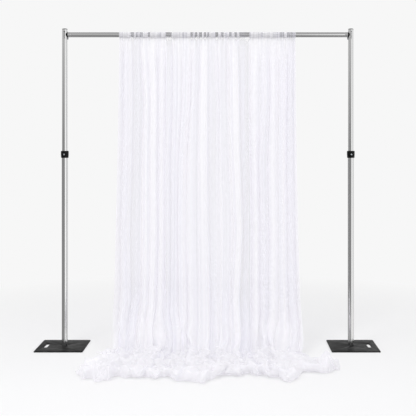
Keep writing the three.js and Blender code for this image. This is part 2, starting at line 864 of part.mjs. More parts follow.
function drapePanel() {
  const columns = (ridgeTopShares.length - 1) * 4 + 1;
  const rows = panelRowShares.length;
  const points = [];
  const faces = [];
  for (const side of [-1, 1]) {
    for (const drop of panelRowShares) {
      for (let i = 0; i < columns; i += 1) {
        const [x, y, z, thick] = panelPoint(i, drop);
        points.push([x, y + (side * thick) / 2, z]);
      }
    }
  }
  const at = (back, row, column) => (back * rows + row) * columns + column;
  for (let r = 0; r < rows - 1; r += 1) {
    for (let i = 0; i < columns - 1; i += 1) {
      faces.push([at(0, r, i), at(0, r + 1, i), at(0, r + 1, i + 1), at(0, r, i + 1)]);
      faces.push([at(1, r, i), at(1, r, i + 1), at(1, r + 1, i + 1), at(1, r + 1, i)]);
    }
    const last = columns - 1;
    faces.push([at(0, r, 0), at(1, r, 0), at(1, r + 1, 0), at(0, r + 1, 0)]);
    faces.push([at(0, r, last), at(0, r + 1, last), at(1, r + 1, last), at(1, r, last)]);
  }
  for (let i = 0; i < columns - 1; i += 1) {
    const foot = rows - 1;
    faces.push([at(0, 0, i), at(0, 0, i + 1), at(1, 0, i + 1), at(1, 0, i)]);
    faces.push([at(0, foot, i), at(1, foot, i), at(1, foot, i + 1), at(0, foot, i + 1)]);
  }
  return skin(points, faces);
}

// Height of the cloth on the floor: a level bed under the foot of the panel, rumples in front of
// it, a roll behind the hem, and a slope down to the hem
function puddleTop(x, y, toHem) {
  const u = (2 * x) / (puddleLeft + puddleRight);
  const v = y / puddleReach;
  const roll = Math.exp(-Math.pow((toHem - puddleRollToHem) / puddleRollWidth, 2));
  const lobes = 0.6 + 0.4 * Math.sin(17 * u + 2 * Math.sin(6 * u));
  const rumple =
    Math.sin(19 * u + 5 * Math.sin(6 * v)) * Math.cos(13 * v + 3 * Math.sin(7 * u)) +
    0.5 * Math.sin(31 * u - 17 * v);
  const body = puddleHeight + (puddleWrinkle * rumple) / 1.5;
  const slope = 1 - Math.exp(-toHem / puddleHemSlope);
  const free = puddleHem + (body - puddleHem) * slope + puddleRoll * roll * lobes;
  const under = Math.exp(-Math.pow(Math.max(0, -y - ledgeFront) / puddleLedgeFade, 2));
  return free + (puddleLedge - free) * under;
}

function drapePuddle() {
  const knots = puddleColumnShares.map(([across, back, front]) => {
    const under = Math.min(1, Math.abs(across));
    const beyond = Math.abs(across) - under;
    const [bed, end] = across < 0 ? [bedLeft, puddleLeft] : [bedRight, puddleRight];
    const x = Math.sign(across) * (under * bed + beyond * (end - bed));
    const depth = puddleReach - bedBack;
    return new THREE.Vector3(x, -bedBack - back * depth, -bedBack - front * depth);
  });
  const curve = new THREE.CatmullRomCurve3(knots, false, "centripetal");
  const columns = curve.getPoints(2 * (knots.length - 1));
  const rows = puddleRowShares.length;
  const points = [];
  const faces = [];
  for (const { x, y: back, z: front } of columns) {
    for (const share of puddleRowShares) {
      const y = back + (front - back) * share;
      const edge = share === 0 || share === 1;
      points.push([x, y, edge ? puddleHem : puddleTop(x, y, y - front)]);
    }
  }
  const floor = points.length;
  for (const { x, y: back, z: front } of columns) points.push([x, back, 0], [x, front, 0]);
  const at = (column, row) => column * rows + row;
  const backFoot = (column) => floor + 2 * column;
  const frontFoot = (column) => floor + 2 * column + 1;
  const hem = rows - 1;
  const last = columns.length - 1;
  for (let c = 0; c < last; c += 1) {
    const next = c + 1;
    for (let r = 0; r < hem; r += 1) {
      faces.push([at(c, r), at(c, r + 1), at(next, r + 1), at(next, r)]);
    }
    faces.push([at(c, 0), at(next, 0), backFoot(next), backFoot(c)]);
    faces.push([at(c, hem), frontFoot(c), frontFoot(next), at(next, hem)]);
    faces.push([backFoot(c), backFoot(next), frontFoot(next), frontFoot(c)]);
  }
  for (let r = 0; r < hem; r += 1) {
    faces.push([backFoot(0), at(0, r + 1), at(0, r)]);
    faces.push([backFoot(last), at(last, r), at(last, r + 1)]);
  }
  faces.push([backFoot(0), frontFoot(0), at(0, hem)]);
  faces.push([backFoot(last), at(last, hem), frontFoot(last)]);
  return skin(points, faces);
}

pieces.add(uprightGroup(-1, "left"));
pieces.add(uprightGroup(1, "right"));
pieces.add(crossbarGroup());
place(pieces, "drape_pocket", drapePocket(), sheerWhite);
place(pieces, "drape_panel", drapePanel(), sheerWhite);
place(pieces, "drape_puddle", drapePuddle(), sheerWhite);

// The origin is on the floor, under the middle of the whole backdrop
const bounds = new THREE.Box3().setFromObject(pieces);
pieces.position.x = -(bounds.min.x + bounds.max.x) / 2;
pieces.position.y = -(bounds.min.y + bounds.max.y) / 2;

export default group;
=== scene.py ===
# A free-standing pipe and drape backdrop: two telescoping uprights on flat steel bases, a crossbar
# hooked into the keyholes near their tops, and one sheer drape that hangs from the crossbar by its
# rod pocket and spills over the floor in front.
import json
import math

import bmesh
import bpy
import numpy as np
from mathutils import Matrix, Vector


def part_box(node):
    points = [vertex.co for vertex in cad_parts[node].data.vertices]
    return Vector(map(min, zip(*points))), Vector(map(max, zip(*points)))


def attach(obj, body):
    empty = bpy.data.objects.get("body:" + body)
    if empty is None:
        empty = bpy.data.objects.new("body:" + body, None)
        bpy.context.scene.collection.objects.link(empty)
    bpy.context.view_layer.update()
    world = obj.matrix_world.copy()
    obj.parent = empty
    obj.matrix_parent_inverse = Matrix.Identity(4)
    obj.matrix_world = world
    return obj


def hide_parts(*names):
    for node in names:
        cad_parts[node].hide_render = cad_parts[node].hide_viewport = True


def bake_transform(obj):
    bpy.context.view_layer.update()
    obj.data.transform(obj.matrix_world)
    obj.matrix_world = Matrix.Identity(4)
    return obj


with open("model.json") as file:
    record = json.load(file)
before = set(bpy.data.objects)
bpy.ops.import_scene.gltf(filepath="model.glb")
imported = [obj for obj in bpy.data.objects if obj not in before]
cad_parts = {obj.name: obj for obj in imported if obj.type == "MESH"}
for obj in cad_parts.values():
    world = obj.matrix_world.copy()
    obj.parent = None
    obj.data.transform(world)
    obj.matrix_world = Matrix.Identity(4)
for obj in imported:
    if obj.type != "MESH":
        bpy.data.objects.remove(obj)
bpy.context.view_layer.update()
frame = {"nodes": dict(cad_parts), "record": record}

scene = bpy.context.scene
MM = 0.001
TURN = 2 * math.pi
QUARTER = math.pi / 2


def middle(node):
    low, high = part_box(node)
    return (low + high) / 2


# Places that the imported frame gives
left_pole = middle("left_lower_tube")
right_pole = middle("right_lower_tube")
pole_y = left_pole.y
bar_z = middle("crossbar_left_tube").z
pole_foot, pole_joint = (corner.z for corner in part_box("left_lower_tube"))
mast_foot, mast_top = (corner.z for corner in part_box("left_upper_tube"))
collar_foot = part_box("left_collar_body")[0].z
bar_end = -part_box("crossbar_left_tube")[0].x

# Camera: level, a little right of the middle, 7 m in front of the uprights
lens = bpy.data.cameras.new("photograph_view")
lens.sensor_width = 36
lens.lens = 71.17
lens.shift_x = -0.055
lens.shift_y = -0.165
eye = bpy.data.objects.new("photograph_view", lens)
eye.location = (0.1966, pole_y - 7.0105, 1.7646)
eye.rotation_euler = (QUARTER, 0, 0)
scene.collection.objects.link(eye)
scene.camera = eye
scene.view_settings.view_transform = "Standard"


# ---- Nodes and colours
def hex_colour(code):
    """An sRGB hex value as a linear colour."""
    parts = [int(code[i : i + 2], 16) / 255 for i in (0, 2, 4)]
    return (*[c / 12.92 if c <= 0.04045 else ((c + 0.055) / 1.055) ** 2.4 for c in parts], 1)


def add(tree, kind, inputs=None, stops=(), **settings):
    """Adds a node and sets its properties. An input takes a value, a socket, or a node, whose
    first output it then uses. A colour ramp takes its stops as (position, hex colour)."""
    node = tree.nodes.new("ShaderNode" + kind)
    for name, value in settings.items():
        setattr(node, name, value)
    for name, value in (inputs or {}).items():
        if isinstance(value, bpy.types.Node):
            value = value.outputs[0]
        if isinstance(value, bpy.types.NodeSocket):
            tree.links.new(value, node.inputs[name])
        else:
            node.inputs[name].default_value = value
    if stops:
        marks = node.color_ramp.elements
        while len(marks) < len(stops):
            marks.new(0.5)
        for mark, (position, code) in zip(marks, stops):
            mark.position, mark.color = position, hex_colour(code)
    return node


def new_material(name):
    made = bpy.data.materials.new(name)
    made.use_nodes = True
    made.node_tree.nodes.clear()
    return made, made.node_tree


# ---- Materials
def rigid_finish(name, clouds, relief, tones, gloss, bump, scuffs=None, drawn=False, metal=0.0,
                 specular=0.5):
    """The finish of a rigid piece. clouds, relief and scuffs are noise over the object, given by
    its sizes in millimetres along X, Y and Z, its detail and its roughness. The clouds set the
    tone, and vary the gloss between two roughnesses. The relief is the bump, with a strength and
    a height in millimetres, and sets the tone of a drawn metal."""
    made, tree = new_material(name)
    place = add(tree, "TexCoord").outputs["Object"]
    fields = []
    for sizes, detail, rough in filter(None, (clouds, relief, scuffs)):
        scaled = add(tree, "Mapping", {"Vector": place, "Scale": [1000 / size for size in sizes]})
        fields.append(add(tree, "TexNoise", {
            "Vector": scaled, "Scale": 1.0, "Detail": detail, "Roughness": rough}))
    tone = add(tree, "ValToRGB", {"Fac": fields[1] if drawn else fields[0]}, stops=tones)
    if scuffs:
        worn = add(tree, "MapRange", {
            "Value": fields[2], "From Min": 0.66, "From Max": 0.8, "To Min": 0, "To Max": 0.4})
        tone = add(tree, "Mix", {0: worn, 6: tone, 7: hex_colour("47484A")},
                   data_type="RGBA").outputs[2]
    dull = add(tree, "MapRange", {
        "Value": fields[0], "From Min": 0.3, "From Max": 0.7,
        "To Min": gloss[0], "To Max": gloss[1]})
    uneven = add(tree, "Bump", {
        "Height": fields[1], "Strength": bump[0], "Distance": bump[1] * MM})
    shader = add(tree, "BsdfPrincipled", {
        "Base Color": tone, "Roughness": dull, "Normal": uneven, "Metallic": metal,
        "Specular IOR Level": specular})
    add(tree, "OutputMaterial", {"Surface": shader})
    return made


# Extruded aluminium tube, clear anodised: satin grey metal with fine die lines along its length
# and faint cloudy handling marks. Real die lines are 0.2 mm apart; they are drawn 1.5 mm apart so
# that they show
upright_metal, crossbar_metal = (
    rigid_finish(f"drawn_aluminium_{use}", clouds=((70, 70, 70), 3, 0.55), relief=(lines, 2, 0.6),
                 tones=((0.3, "C3C3C3"), (0.7, "CCCCCC")), gloss=(0.09, 0.16), bump=(0.05, 0.01),
                 drawn=True, metal=1.0)
    for use, lines in (("upright", (1.5, 1.5, 500)), ("crossbar", (500, 1.5, 1.5)))
)
# Charcoal polyester powder baked on steel: an orange peel of 1.4 mm, low gloss, dusty clouds of
# 55 mm and a few faint scuffs from shoes
charcoal_coat = rigid_finish(
    "charcoal_powder_coat", clouds=((55, 55, 55), 5, 0.62), relief=((1.4, 1.4, 1.4), 1.5, 0.55),
    scuffs=((60, 4, 4), 3, 0.6), tones=((0.32, "131313"), (0.7, "171717")), gloss=(0.36, 0.5),
    bump=(0.35, 0.08), specular=0.045)
# Injection-moulded glass-filled nylon, black: a fine spark-eroded grain of 0.6 mm, with slightly
# duller flow clouds of 18 mm
black_nylon = rigid_finish(
    "black_moulded_nylon", clouds=((18, 18, 30), 3, 0.55), relief=((0.6, 0.6, 0.6), 2, 0.55),
    tones=((0.3, "080809"), (0.7, "0E0E0F")), gloss=(0.26, 0.4), bump=(0.25, 0.04), specular=0.12)
# Bright zinc on turned steel: pale, slightly blue, with a mottle of 4 mm and soft tool marks
bright_zinc = rigid_finish(
    "bright_zinc_plate", clouds=((4, 4, 4), 3, 0.55), relief=((30, 30, 0.5), 1, 0.55),
    tones=((0.3, "A9AEB3"), (0.7, "C6CACD")), gloss=(0.24, 0.38), bump=(0.2, 0.02), metal=1.0)
# Hardened and tempered steel strip, lightly oiled: darker grey with straw-brown temper clouds of
# 12 mm and rolling lines of 0.8 mm
oiled_steel = rigid_finish(
    "oiled_spring_steel", clouds=((12, 12, 12), 3, 0.55), relief=((40, 0.8, 0.8), 1, 0.55),
    tones=((0.3, "7F8286"), (0.62, "94979A"), (0.78, "988F84")), gloss=(0.28, 0.42),
    bump=(0.2, 0.02), metal=1.0)


def sheer_voile():
    """Sheer polyester voile, plain weave, lightly crushed along its length. A single layer is half
    see-through and is painted a pale grey, which stands partly for the thin cloth's own look and
    partly for painted shade of the folds; where it is gathered it turns to a dense soft white with
    a lilac cast. Its threads are 0.35 mm apart; they are drawn 2.5 mm apart so that they show near
    by. The crush runs in soft creases about 110 mm apart and metres long, which vary how
    see-through it is and shift its tone as painted crease shade. Both follow the cloth's own map,
    which is in metres."""
    made, tree = new_material("sheer_white_voile")
    cloth = add(tree, "UVMap", uv_map="cloth")
    warp, weft = (
        add(tree, "TexWave", {
            "Vector": cloth, "Scale": TURN / (20 * 2.5 * MM), "Distortion": 0.6, "Detail": 1.0,
            "Detail Scale": 0.6}, wave_type="BANDS", bands_direction=across).outputs["Fac"]
        for across in ("X", "Y"))
    weave = add(tree, "Math", {0: warp, 1: weft}, operation="MAXIMUM")
    creases = add(tree, "Mapping", {"Vector": cloth, "Scale": (1000 / 110, 1000 / 3500, 1)})
    crush = add(tree, "TexNoise", {
        "Vector": creases, "Scale": 1.0, "Detail": 1.5, "Roughness": 0.5})
    # The creases vary the cover and shift the tone; the tone shift is painted crease shade
    crease_shade_and_cover = add(tree, "MapRange", {
        "Value": crush, "From Min": 0.3, "From Max": 0.7, "To Min": -0.2, "To Max": 0.2})
    gather_and_shade = add(tree, "Attribute", attribute_name="gather_and_shade").outputs["Fac"]
    dense = add(tree, "Math", {0: gather_and_shade, 1: crease_shade_and_cover}, operation="ADD")
    # The tone greys as the share falls: partly the thin cloth's own look, partly painted shade of
    # the fold bands and creases
    tone = add(tree, "ValToRGB", {"Fac": dense},
               stops=((0.0, "E1E0E8"), (0.45, "F7F6FE"), (0.8, "FDFCFF")))
    relief = add(tree, "Bump", {"Height": weave, "Strength": 0.05, "Distance": 0.05 * MM})
    front = add(tree, "BsdfPrincipled", {
        "Base Color": tone, "Roughness": 0.75, "Specular IOR Level": 0.2, "Sheen Weight": 0.25,
        "Sheen Roughness": 0.4, "Normal": relief})
    lit_through = add(tree, "BsdfTranslucent", {"Color": tone, "Normal": relief})
    threads = add(tree, "MixShader", {0: 0.4, 1: front, 2: lit_through})
    cover = add(tree, "Math", {0: weave, 1: 0.04, 2: 0.36}, operation="MULTIPLY_ADD")
    closed = add(tree, "Math", {0: dense, 1: 0.56, 2: cover}, operation="MULTIPLY_ADD",
                 use_clamp=True)
    gaps = add(tree, "BsdfTransparent")
    surface = add(tree, "MixShader", {0: closed, 1: gaps, 2: threads})
    add(tree, "OutputMaterial", {"Surface": surface})
    return made


voile = sheer_voile()
slot_finish = {
    "satin_aluminium": crossbar_metal, "black_powder_coat": charcoal_coat,
    "black_nylon": black_nylon, "bright_steel": bright_zinc, "plain_steel": oiled_steel,
    "sheer_fabric": voile,
}
slot_of = {part["node"]: part["material_slot"] for part in frame["record"]["subparts"]}
body_of = {node: body for body, nodes in frame["record"]["behaviour"]["bodies"].items()
           for node in nodes}
for node, shape in frame["nodes"].items():
    shape.data.materials.clear()
    shape.data.materials.append(slot_finish[slot_of[node]])


# ---- Shaping helpers. Profiles and outlines are in millimetres
def spun(profile, steps=64, closed=True):
    """A profile of (radius, height) turned about the Z axis. An open one ends on the axis."""
    shape = bmesh.new()
    rim = [shape.verts.new((radius * MM, 0, height * MM)) for radius, height in profile]
    pairs = list(zip(rim, rim[1:])) + ([(rim[-1], rim[0])] if closed else [])
    edges = [shape.edges.new(pair) for pair in pairs]
    bmesh.ops.spin(shape, geom=rim + edges, cent=(0, 0, 0), axis=(0, 0, 1), angle=TURN,
                   steps=steps, use_merge=True)
    bmesh.ops.remove_doubles(shape, verts=shape.verts, dist=1e-6)
    bmesh.ops.recalc_face_normals(shape, faces=shape.faces)
    return shape


def arc(centre_radius, centre_height, radius, start, end, steps=6):
    """Points of an arc in a profile, from start to end in degrees."""
    angles = [math.radians(start + (end - start) * i / steps) for i in range(steps + 1)]
    return [(centre_radius + radius * math.cos(a), centre_height + radius * math.sin(a))
            for a in angles]


def slab(outline, thick):
    """An outline of (x, z) given a thickness across Y, centred on Y = 0."""
    shape = bmesh.new()
    face = shape.faces.new([shape.verts.new((x * MM, -thick * MM / 2, z * MM)) for x, z in outline])
    grown = bmesh.ops.extrude_face_region(shape, geom=[face])["geom"]
    far = [part for part in grown if isinstance(part, bmesh.types.BMVert)]
    bmesh.ops.translate(shape, verts=far, vec=(0, thick * MM, 0))
    bmesh.ops.recalc_face_normals(shape, faces=shape.faces)
    return shape


def block(low, high):
    """A box between two corners."""
    shape = bmesh.new()
    bmesh.ops.create_cube(shape, size=1)
    size = [(b - a) * MM for a, b in zip(low, high)]
    centre = [(b + a) * MM / 2 for a, b in zip(low, high)]
    bmesh.ops.scale(shape, verts=shape.verts, vec=size)
    bmesh.ops.translate(shape, verts=shape.verts, vec=centre)
    return shape


def moved(shape, offset=(0, 0, 0), turn=0.0, axis="Z"):
    """Turns a shape about an axis of the origin, then shifts it by metres."""
    turned = Matrix.Rotation(turn, 3, axis)
    bmesh.ops.rotate(shape, verts=shape.verts, cent=(0, 0, 0), matrix=turned)
    bmesh.ops.translate(shape, verts=shape.verts, vec=offset)
    return shape


def laid_flat(shape):
    """Turns an outline of (x, z) so that it lies on the floor as (x, y)."""
    return moved(shape, turn=-QUARTER, axis="X")


def as_object(name, shape):
    """An object in the scene from a shape, which is used up."""
    mesh = bpy.data.meshes.new(name)
    shape.to_mesh(mesh)
    shape.free()
    made = bpy.data.objects.new(name, mesh)
    scene.collection.objects.link(made)
    return made


def settled(made):
    """Applies the modifiers of an object."""
    bpy.context.view_layer.update()
    shown = made.evaluated_get(bpy.context.evaluated_depsgraph_get())
    mesh = bpy.data.meshes.new_from_object(shown)
    made.modifiers.clear()
    old, made.data = made.data, mesh
    bpy.data.meshes.remove(old)


def finished(name, shape, finish, stands_for, cuts=(), edge=0.0, gives=None):
    """Makes a piece: cuts holes in the shape, breaks its sharp edges, gives it its material, and
    lets it stand for a CAD node and ride on its body. A spring, given gives, stays where it is and
    rides on no body; gives holds the body that presses it and the places from where and to where it
    comes, which are not used."""
    made = as_object(name, shape)
    for number, cutter in enumerate(cuts):
        tool = as_object(f"{name}_cutter_{number}", cutter)
        step = made.modifiers.new("cut", "BOOLEAN")
        step.operation, step.solver, step.object = "DIFFERENCE", "EXACT", tool
        settled(made)
        bpy.data.objects.remove(tool)
    if edge:
        step = made.modifiers.new("edge", "BEVEL")
        step.width, step.segments = edge * MM, 2
        step.limit_method, step.angle_limit = "ANGLE", math.radians(40)
        settled(made)
    made.data.name = name
    made.data.materials.clear()
    made.data.materials.append(finish)
    made.data.shade_smooth()
    made.data.set_sharp_from_angle(angle=math.radians(35))
    if gives:
        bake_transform(made)
    else:
        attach(made, body_of[stands_for])
    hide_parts(stands_for)


# ---- Sizes of the rigid pieces, in millimetres
gap, slide = 0.3, 0.4
plate_side, plate_thick, plate_corner, plate_edge = 406, 6.35, 12, 0.8
pole_inset, hand_slot_place, hand_slot_length, hand_slot_width = 17, 153, 120, 30
bolt_bore, bolt_head, bolt_cone_low, bolt_cone_top = 6.3, 11.3, 1.4, 6.4
pole_radius, pole_wall = 25.4, 1.65
mast_radius, mast_wall = 22.5, 1.65
keyhole_width, keyhole_head, keyhole_rise, keyhole_drop = 5, 5.5, 26, 36
cap_rise, cap_stub, cap_wall, cap_rim = 8, 12, 2.5, 3
saddle = mast_radius + slide

# The lock, in heights above its collar's foot. A shell stands on the collar's neck. The button,
# its window and the leaf spring have their reach from the upright's axis
collar_radius, collar_round, collar_joint = 32, 5.5, 20
neck_radius, neck_top, throat_radius, throat_ledge = 29.4, 27, 23.2, 22
shell_radius, shell_round, shell_lip, shell_top, shell_chamfer = 33, 6.5, 1.5, 60, 1.5
room_radius, room_top = 29.7, 31.6
rivet_height, rivet_bore = 11, 2.7
button_height, button_radius, button_round, button_rim, button_tip = 29.3, 6.5, 1.2, 34.8, 36.4
button_stem, button_foot, button_seat, window_radius, window_reach = 2, 29.3, 31.5, 6.9, 28.4
leaf_width, leaf_reach, leaf_rise, leaf_thick, leaf_back = 4, 17, 2.9, 0.5, 26.1

# The crossbar: its tubes, and the plugs and hooks in its ends from the axis of each upright
bar_radius, bar_wall, bar_end_gap = 21.3, 1.5, 27
crimp_place, crimp_half, crimp_depth = 25, 2.6, 0.9
snap_holes, joiner_rivet_holes = ((60, 4.8),), ((-40, 3.9), (-80, 3.9))
plug_lip, plug_end, pin_place, pin_bore, pin_reach = 12, 72, 45, 2.8, 16.8
hook_thick, hook_nose, hook_inside, hook_tail, hook_end = 3, 12, 20.25, 30.9, 60
hook_low, hook_top, hook_step, hook_round, hook_edge = -14, 12, 5.3, 2.5, 0.35
hook_slot = hook_thick / 2 + gap


def stadium(length, width, steps=10):
    """Outline of a slot with round ends, long along its second direction."""
    radius, straight = width / 2, (length - width) / 2
    return arc(0, straight, radius, 0, 180, steps) + arc(0, -straight, radius, 180, 360, steps)


def drill(radius, reach, steps, place, start=0, turn=-QUARTER):
    """A round cutter from a place towards the back, or with a quarter turn towards the front."""
    rod = spun([(0, start), (radius, start), (radius, reach), (0, reach)], steps, closed=False)
    return moved(rod, place, turn, "X")


def foot_plate(name, at, turn):
    """The base plate, with its hand slot and the countersunk hole of the spigot's bolt."""
    straight = plate_side / 2 - plate_corner
    rim = []
    for quarter, (x, y) in enumerate(((1, 1), (-1, 1), (-1, -1), (1, -1))):
        rim += arc(x * straight, y * straight, plate_corner, 90 * quarter, 90 * quarter + 90)
    plate = moved(laid_flat(slab(rim, plate_thick)), (pole_inset * MM, 0, plate_thick * MM / 2))
    hand_slot = laid_flat(slab(stadium(hand_slot_length, hand_slot_width), 40))
    moved(hand_slot, (hand_slot_place * MM, 0, 0))
    bolt_hole = spun([(0, -5), (bolt_head, -5), (bolt_head, bolt_cone_low),
                      (bolt_bore, bolt_cone_top), (bolt_bore, 12), (0, 12)], 32, closed=False)
    for shape in (plate, hand_slot, bolt_hole):
        moved(shape, at, turn)
    finished(f"{name}_foot_plate", plate, charcoal_coat, f"{name}_base_plate",
             [hand_slot, bolt_hole], plate_edge)


def tube_profile(radius, wall, low, high, lip=0.4):
    """A tube with slightly broken edges at its ends."""
    inside = radius - wall
    return [(radius, low + lip), (radius, high - lip), (radius - lip, high), (inside + lip, high),
            (inside, high - lip), (inside, low + lip), (inside + lip, low), (radius - lip, low)]


def keyhole_cutter(height):
    """A round head over a narrow slot with a round foot, through the whole tube."""
    half = keyhole_width / 2
    opened = math.degrees(math.asin(half / keyhole_head))
    rim = arc(0, height - keyhole_drop + half, half, 180, 360, 8)
    rim += arc(0, height + keyhole_rise, keyhole_head, opened - 90, 270 - opened, 20)
    return slab(rim, 3 * mast_radius)


def poles(name, at):
    """The lower and the upper tube, and the cap."""
    lower = spun(tube_profile(pole_radius, pole_wall, pole_foot / MM, pole_joint / MM))
    rivet_hole = drill(rivet_bore, 40, 16, (0, 0, collar_foot + rivet_height * MM))
    finished(f"{name}_lower_pole", moved(lower, at), upright_metal, f"{name}_lower_tube",
             [moved(rivet_hole, at)])

    upper = spun(tube_profile(mast_radius, mast_wall, mast_foot / MM, mast_top / MM))
    keyholes = [moved(moved(keyhole_cutter(bar_z / MM), turn=turn), at) for turn in (0, QUARTER)]
    finished(f"{name}_upper_pole", moved(upper, at), upright_metal, f"{name}_upper_tube", keyholes)

    stub, top = mast_radius - mast_wall - gap, mast_top / MM
    dome = [(mast_radius * math.cos(a), top + cap_rim + (cap_rise - cap_rim) * math.sin(a))
            for a in (QUARTER * i / 8 for i in range(8))]
    cap = spun([
        (0, top + cap_rise), *dome[::-1], (mast_radius, top + gap + 0.4),
        (mast_radius - 0.4, top + gap), (stub, top + gap), (stub, top - cap_stub),
        (stub - cap_wall, top - cap_stub), (stub - cap_wall, top + cap_rim - gap),
        (0, top + cap_rim - gap)], closed=False)
    finished(f"{name}_pole_cap", moved(cap, at), black_nylon, f"{name}_top_cap")


def height_lock(name, at):
    """The collar and its shell, the release button in their window, and the leaf spring inside."""
    window_place = (0, -window_reach * MM, button_height * MM)
    rivet_seat = drill(rivet_bore, 40, 16, (0, 0, rivet_height * MM))
    window = drill(window_radius, 12, 40, window_place, turn=QUARTER)
    bore = pole_radius + gap
    body = spun([
        (27.4, 0), *arc(collar_radius - collar_round, collar_round, collar_round, -75, 0),
        (collar_radius, collar_joint), (neck_radius, collar_joint), (neck_radius, neck_top),
        (throat_radius, neck_top), (throat_radius, throat_ledge), (bore, throat_ledge),
        (bore, 0.6), (bore + 0.6, 0)])
    finished(f"{name}_lock_collar", moved(body, at), black_nylon, f"{name}_collar_body",
             [moved(window, at), moved(rivet_seat, at)])

    window = drill(window_radius, 12, 40, window_place, turn=QUARTER)
    foot, bore = collar_joint + gap, mast_radius + gap
    shell = spun([
        (31.9, foot), *arc(shell_radius - shell_lip, foot + shell_lip, shell_lip, -50, 0, 3),
        *arc(shell_radius - shell_round, shell_top - shell_round, shell_round, 0, 90, 8),
        (bore + shell_chamfer, shell_top), (bore, shell_top - shell_chamfer), (bore, room_top),
        (room_radius, room_top), (room_radius, foot)])
    finished(f"{name}_lock_cap", moved(shell, at), black_nylon, f"{name}_collar_cap",
             [moved(window, at)])

    button = spun([
        (0, button_foot), (button_stem, button_foot), (button_stem, button_seat),
        (button_radius - 0.2, button_seat), (button_radius, button_seat + 0.2),
        *arc(button_radius - button_round, button_rim, button_round, 0, 80),
        (4, button_tip - 0.25), (2, button_tip - 0.05), (0, button_tip)], 40, closed=False)
    moved(button, (0, 0, button_height * MM), QUARTER, "X")
    finished(f"{name}_lock_button", moved(button, at), bright_zinc, f"{name}_release_button")

    # The bowed leaf behind the lock plate bears on the shell with its ends, and its middle is
    # pushed back
    radius = (leaf_reach**2 + leaf_rise**2) / (2 * leaf_rise)
    swept, centre = math.degrees(math.asin(leaf_reach / radius)), leaf_back - radius
    rim = arc(0, centre, radius + leaf_thick, 90 - swept, 90 + swept, 24)
    rim += arc(0, centre, radius, 90 + swept, 90 - swept, 24)
    leaf = moved(laid_flat(slab(rim, leaf_width)), (0, 0, button_height * MM))
    start, end = ((at[0], pole_y + y * MM, 0) for y in (leaf_back - leaf_rise, leaf_back))
    finished(f"{name}_lock_leaf", moved(leaf, at), oiled_steel, f"{name}_lock_spring",
             gives=(f"{name}_lock", start, end))


def bar_half(name, side):
    """Half of the crossbar, with the rolled crimp that holds its plug."""
    end, crimp = bar_end / MM, bar_end / MM - crimp_place
    inside, from_middle = bar_radius - bar_wall, 0.3
    groove = [(bar_radius - crimp_depth * math.cos(QUARTER * a) ** 2, crimp + crimp_half * a)
              for a in (step / 4 for step in range(-4, 5))]
    outer = [(bar_radius - 0.3, from_middle), (bar_radius, from_middle + 0.3), *groove,
             (bar_radius, end - 0.4), (bar_radius - 0.4, end)]
    inner = [(inside, end), *[(radius - bar_wall, along) for radius, along in groove[::-1]],
             (inside, from_middle)]
    tube = moved(spun(outer + inner), turn=side * QUARTER, axis="Y")
    pole_x = right_pole.x / MM
    slot = block((pole_x - hook_tail - gap, -hook_slot, -60), (pole_x, hook_slot, 0))
    moved(slot, turn=math.pi if side < 0 else 0.0)
    places = snap_holes if side > 0 else joiner_rivet_holes
    holes = [drill(radius, 40, 24, (x * MM, 0, 0)) for x, radius in places]
    at = (0, pole_y, bar_z)
    finished(f"crossbar_{name}_half", moved(tube, at), crossbar_metal, f"crossbar_{name}_tube",
             [moved(cutter, at) for cutter in [slot, *holes]])


def bar_end_pieces(name, at, turn):
    """The plug in the bar's end, coped to the upright, and its steel hook. Both are drawn in a
    frame whose origin is on the upright's axis and whose +X runs along the bar."""
    stub, crimp = bar_radius - bar_wall - gap, bar_end_gap + crimp_place
    seat, crimp_room = bar_end_gap - gap, crimp_half + gap
    plug = spun([
        (0, plug_lip), (bar_radius - 0.3, plug_lip), (bar_radius, plug_lip + 0.3),
        (bar_radius, seat - 0.3), (bar_radius - 0.3, seat), (stub, seat),
        (stub, crimp - crimp_room), (stub - crimp_depth, crimp), (stub, crimp + crimp_room),
        (stub, plug_end - 1), (stub - 1, plug_end), (0, plug_end)], closed=False)
    moved(plug, turn=QUARTER, axis="Y")
    cuts = [
        spun([(0, -50), (saddle, -50), (saddle, 50), (0, 50)], closed=False),
        block((0, -hook_slot, hook_low - gap), (hook_end + gap, hook_slot, hook_top + gap)),
        block((0, -hook_slot, -50), (hook_tail + gap, hook_slot, 0)),
        drill(pin_bore, pin_reach, 24, (pin_place * MM, 0, 0), -pin_reach),
    ]
    finished(f"{name}_bar_plug", moved(plug, at, turn), black_nylon, f"{name}_end_plug",
             [moved(cutter, at, turn) for cutter in cuts])

    # The hook's point hangs in the keyhole's slot and rests on its round foot
    half = keyhole_width / 2
    rest = half - math.sqrt(half * half - hook_thick**2 / 4) + gap - keyhole_drop
    point = rest + hook_low + hook_round
    rim = [
        (hook_nose, 4), *arc(hook_nose + hook_round, point, hook_round, 180, 270, 5),
        *arc(hook_inside - hook_round, point, hook_round, 270, 360, 5), (hook_inside, rest),
        (saddle, rest), (saddle, rest - hook_step),
        *arc(hook_tail - hook_round, rest - hook_step + hook_round, hook_round, 270, 360, 5),
        (hook_tail, hook_low), (hook_end, hook_low), (hook_end, hook_top),
        (saddle + 7, hook_top), (saddle, 4)]
    pin_hole = drill(pin_bore, 10, 24, (pin_place * MM, 0, 0), -10)
    finished(f"{name}_bar_hook", moved(slab(rim, hook_thick), at, turn), oiled_steel,
             f"{name}_hook", [moved(pin_hole, at, turn)], hook_edge)


def joiner_strip():
    """The V-shaped strip inside the joiner's sleeve. Its rear leg ends in a flat pad, which lifts
    the snap button and is pushed in by it, and its front leg bears on the sleeve."""
    knee, tip, pad_low, pad_top, front, thick = 51, 69, 12.4, 13.6, -16.07, 0.8
    rim = [(5.6, 0), (knee, pad_low), (tip, pad_top - thick), (tip, pad_top), (knee, pad_top),
           (6, thick), (4.4, 0), (6, -thick), (tip, front), (tip, front + thick)]
    strip = moved(laid_flat(slab(rim, 10)), (0, pole_y, bar_z))
    start, end = ((0, pole_y + y * MM, 0) for y in (thick, pad_low))
    finished("joiner_strip", strip, oiled_steel, "joiner_spring", gives=("joiner_snap", start, end))


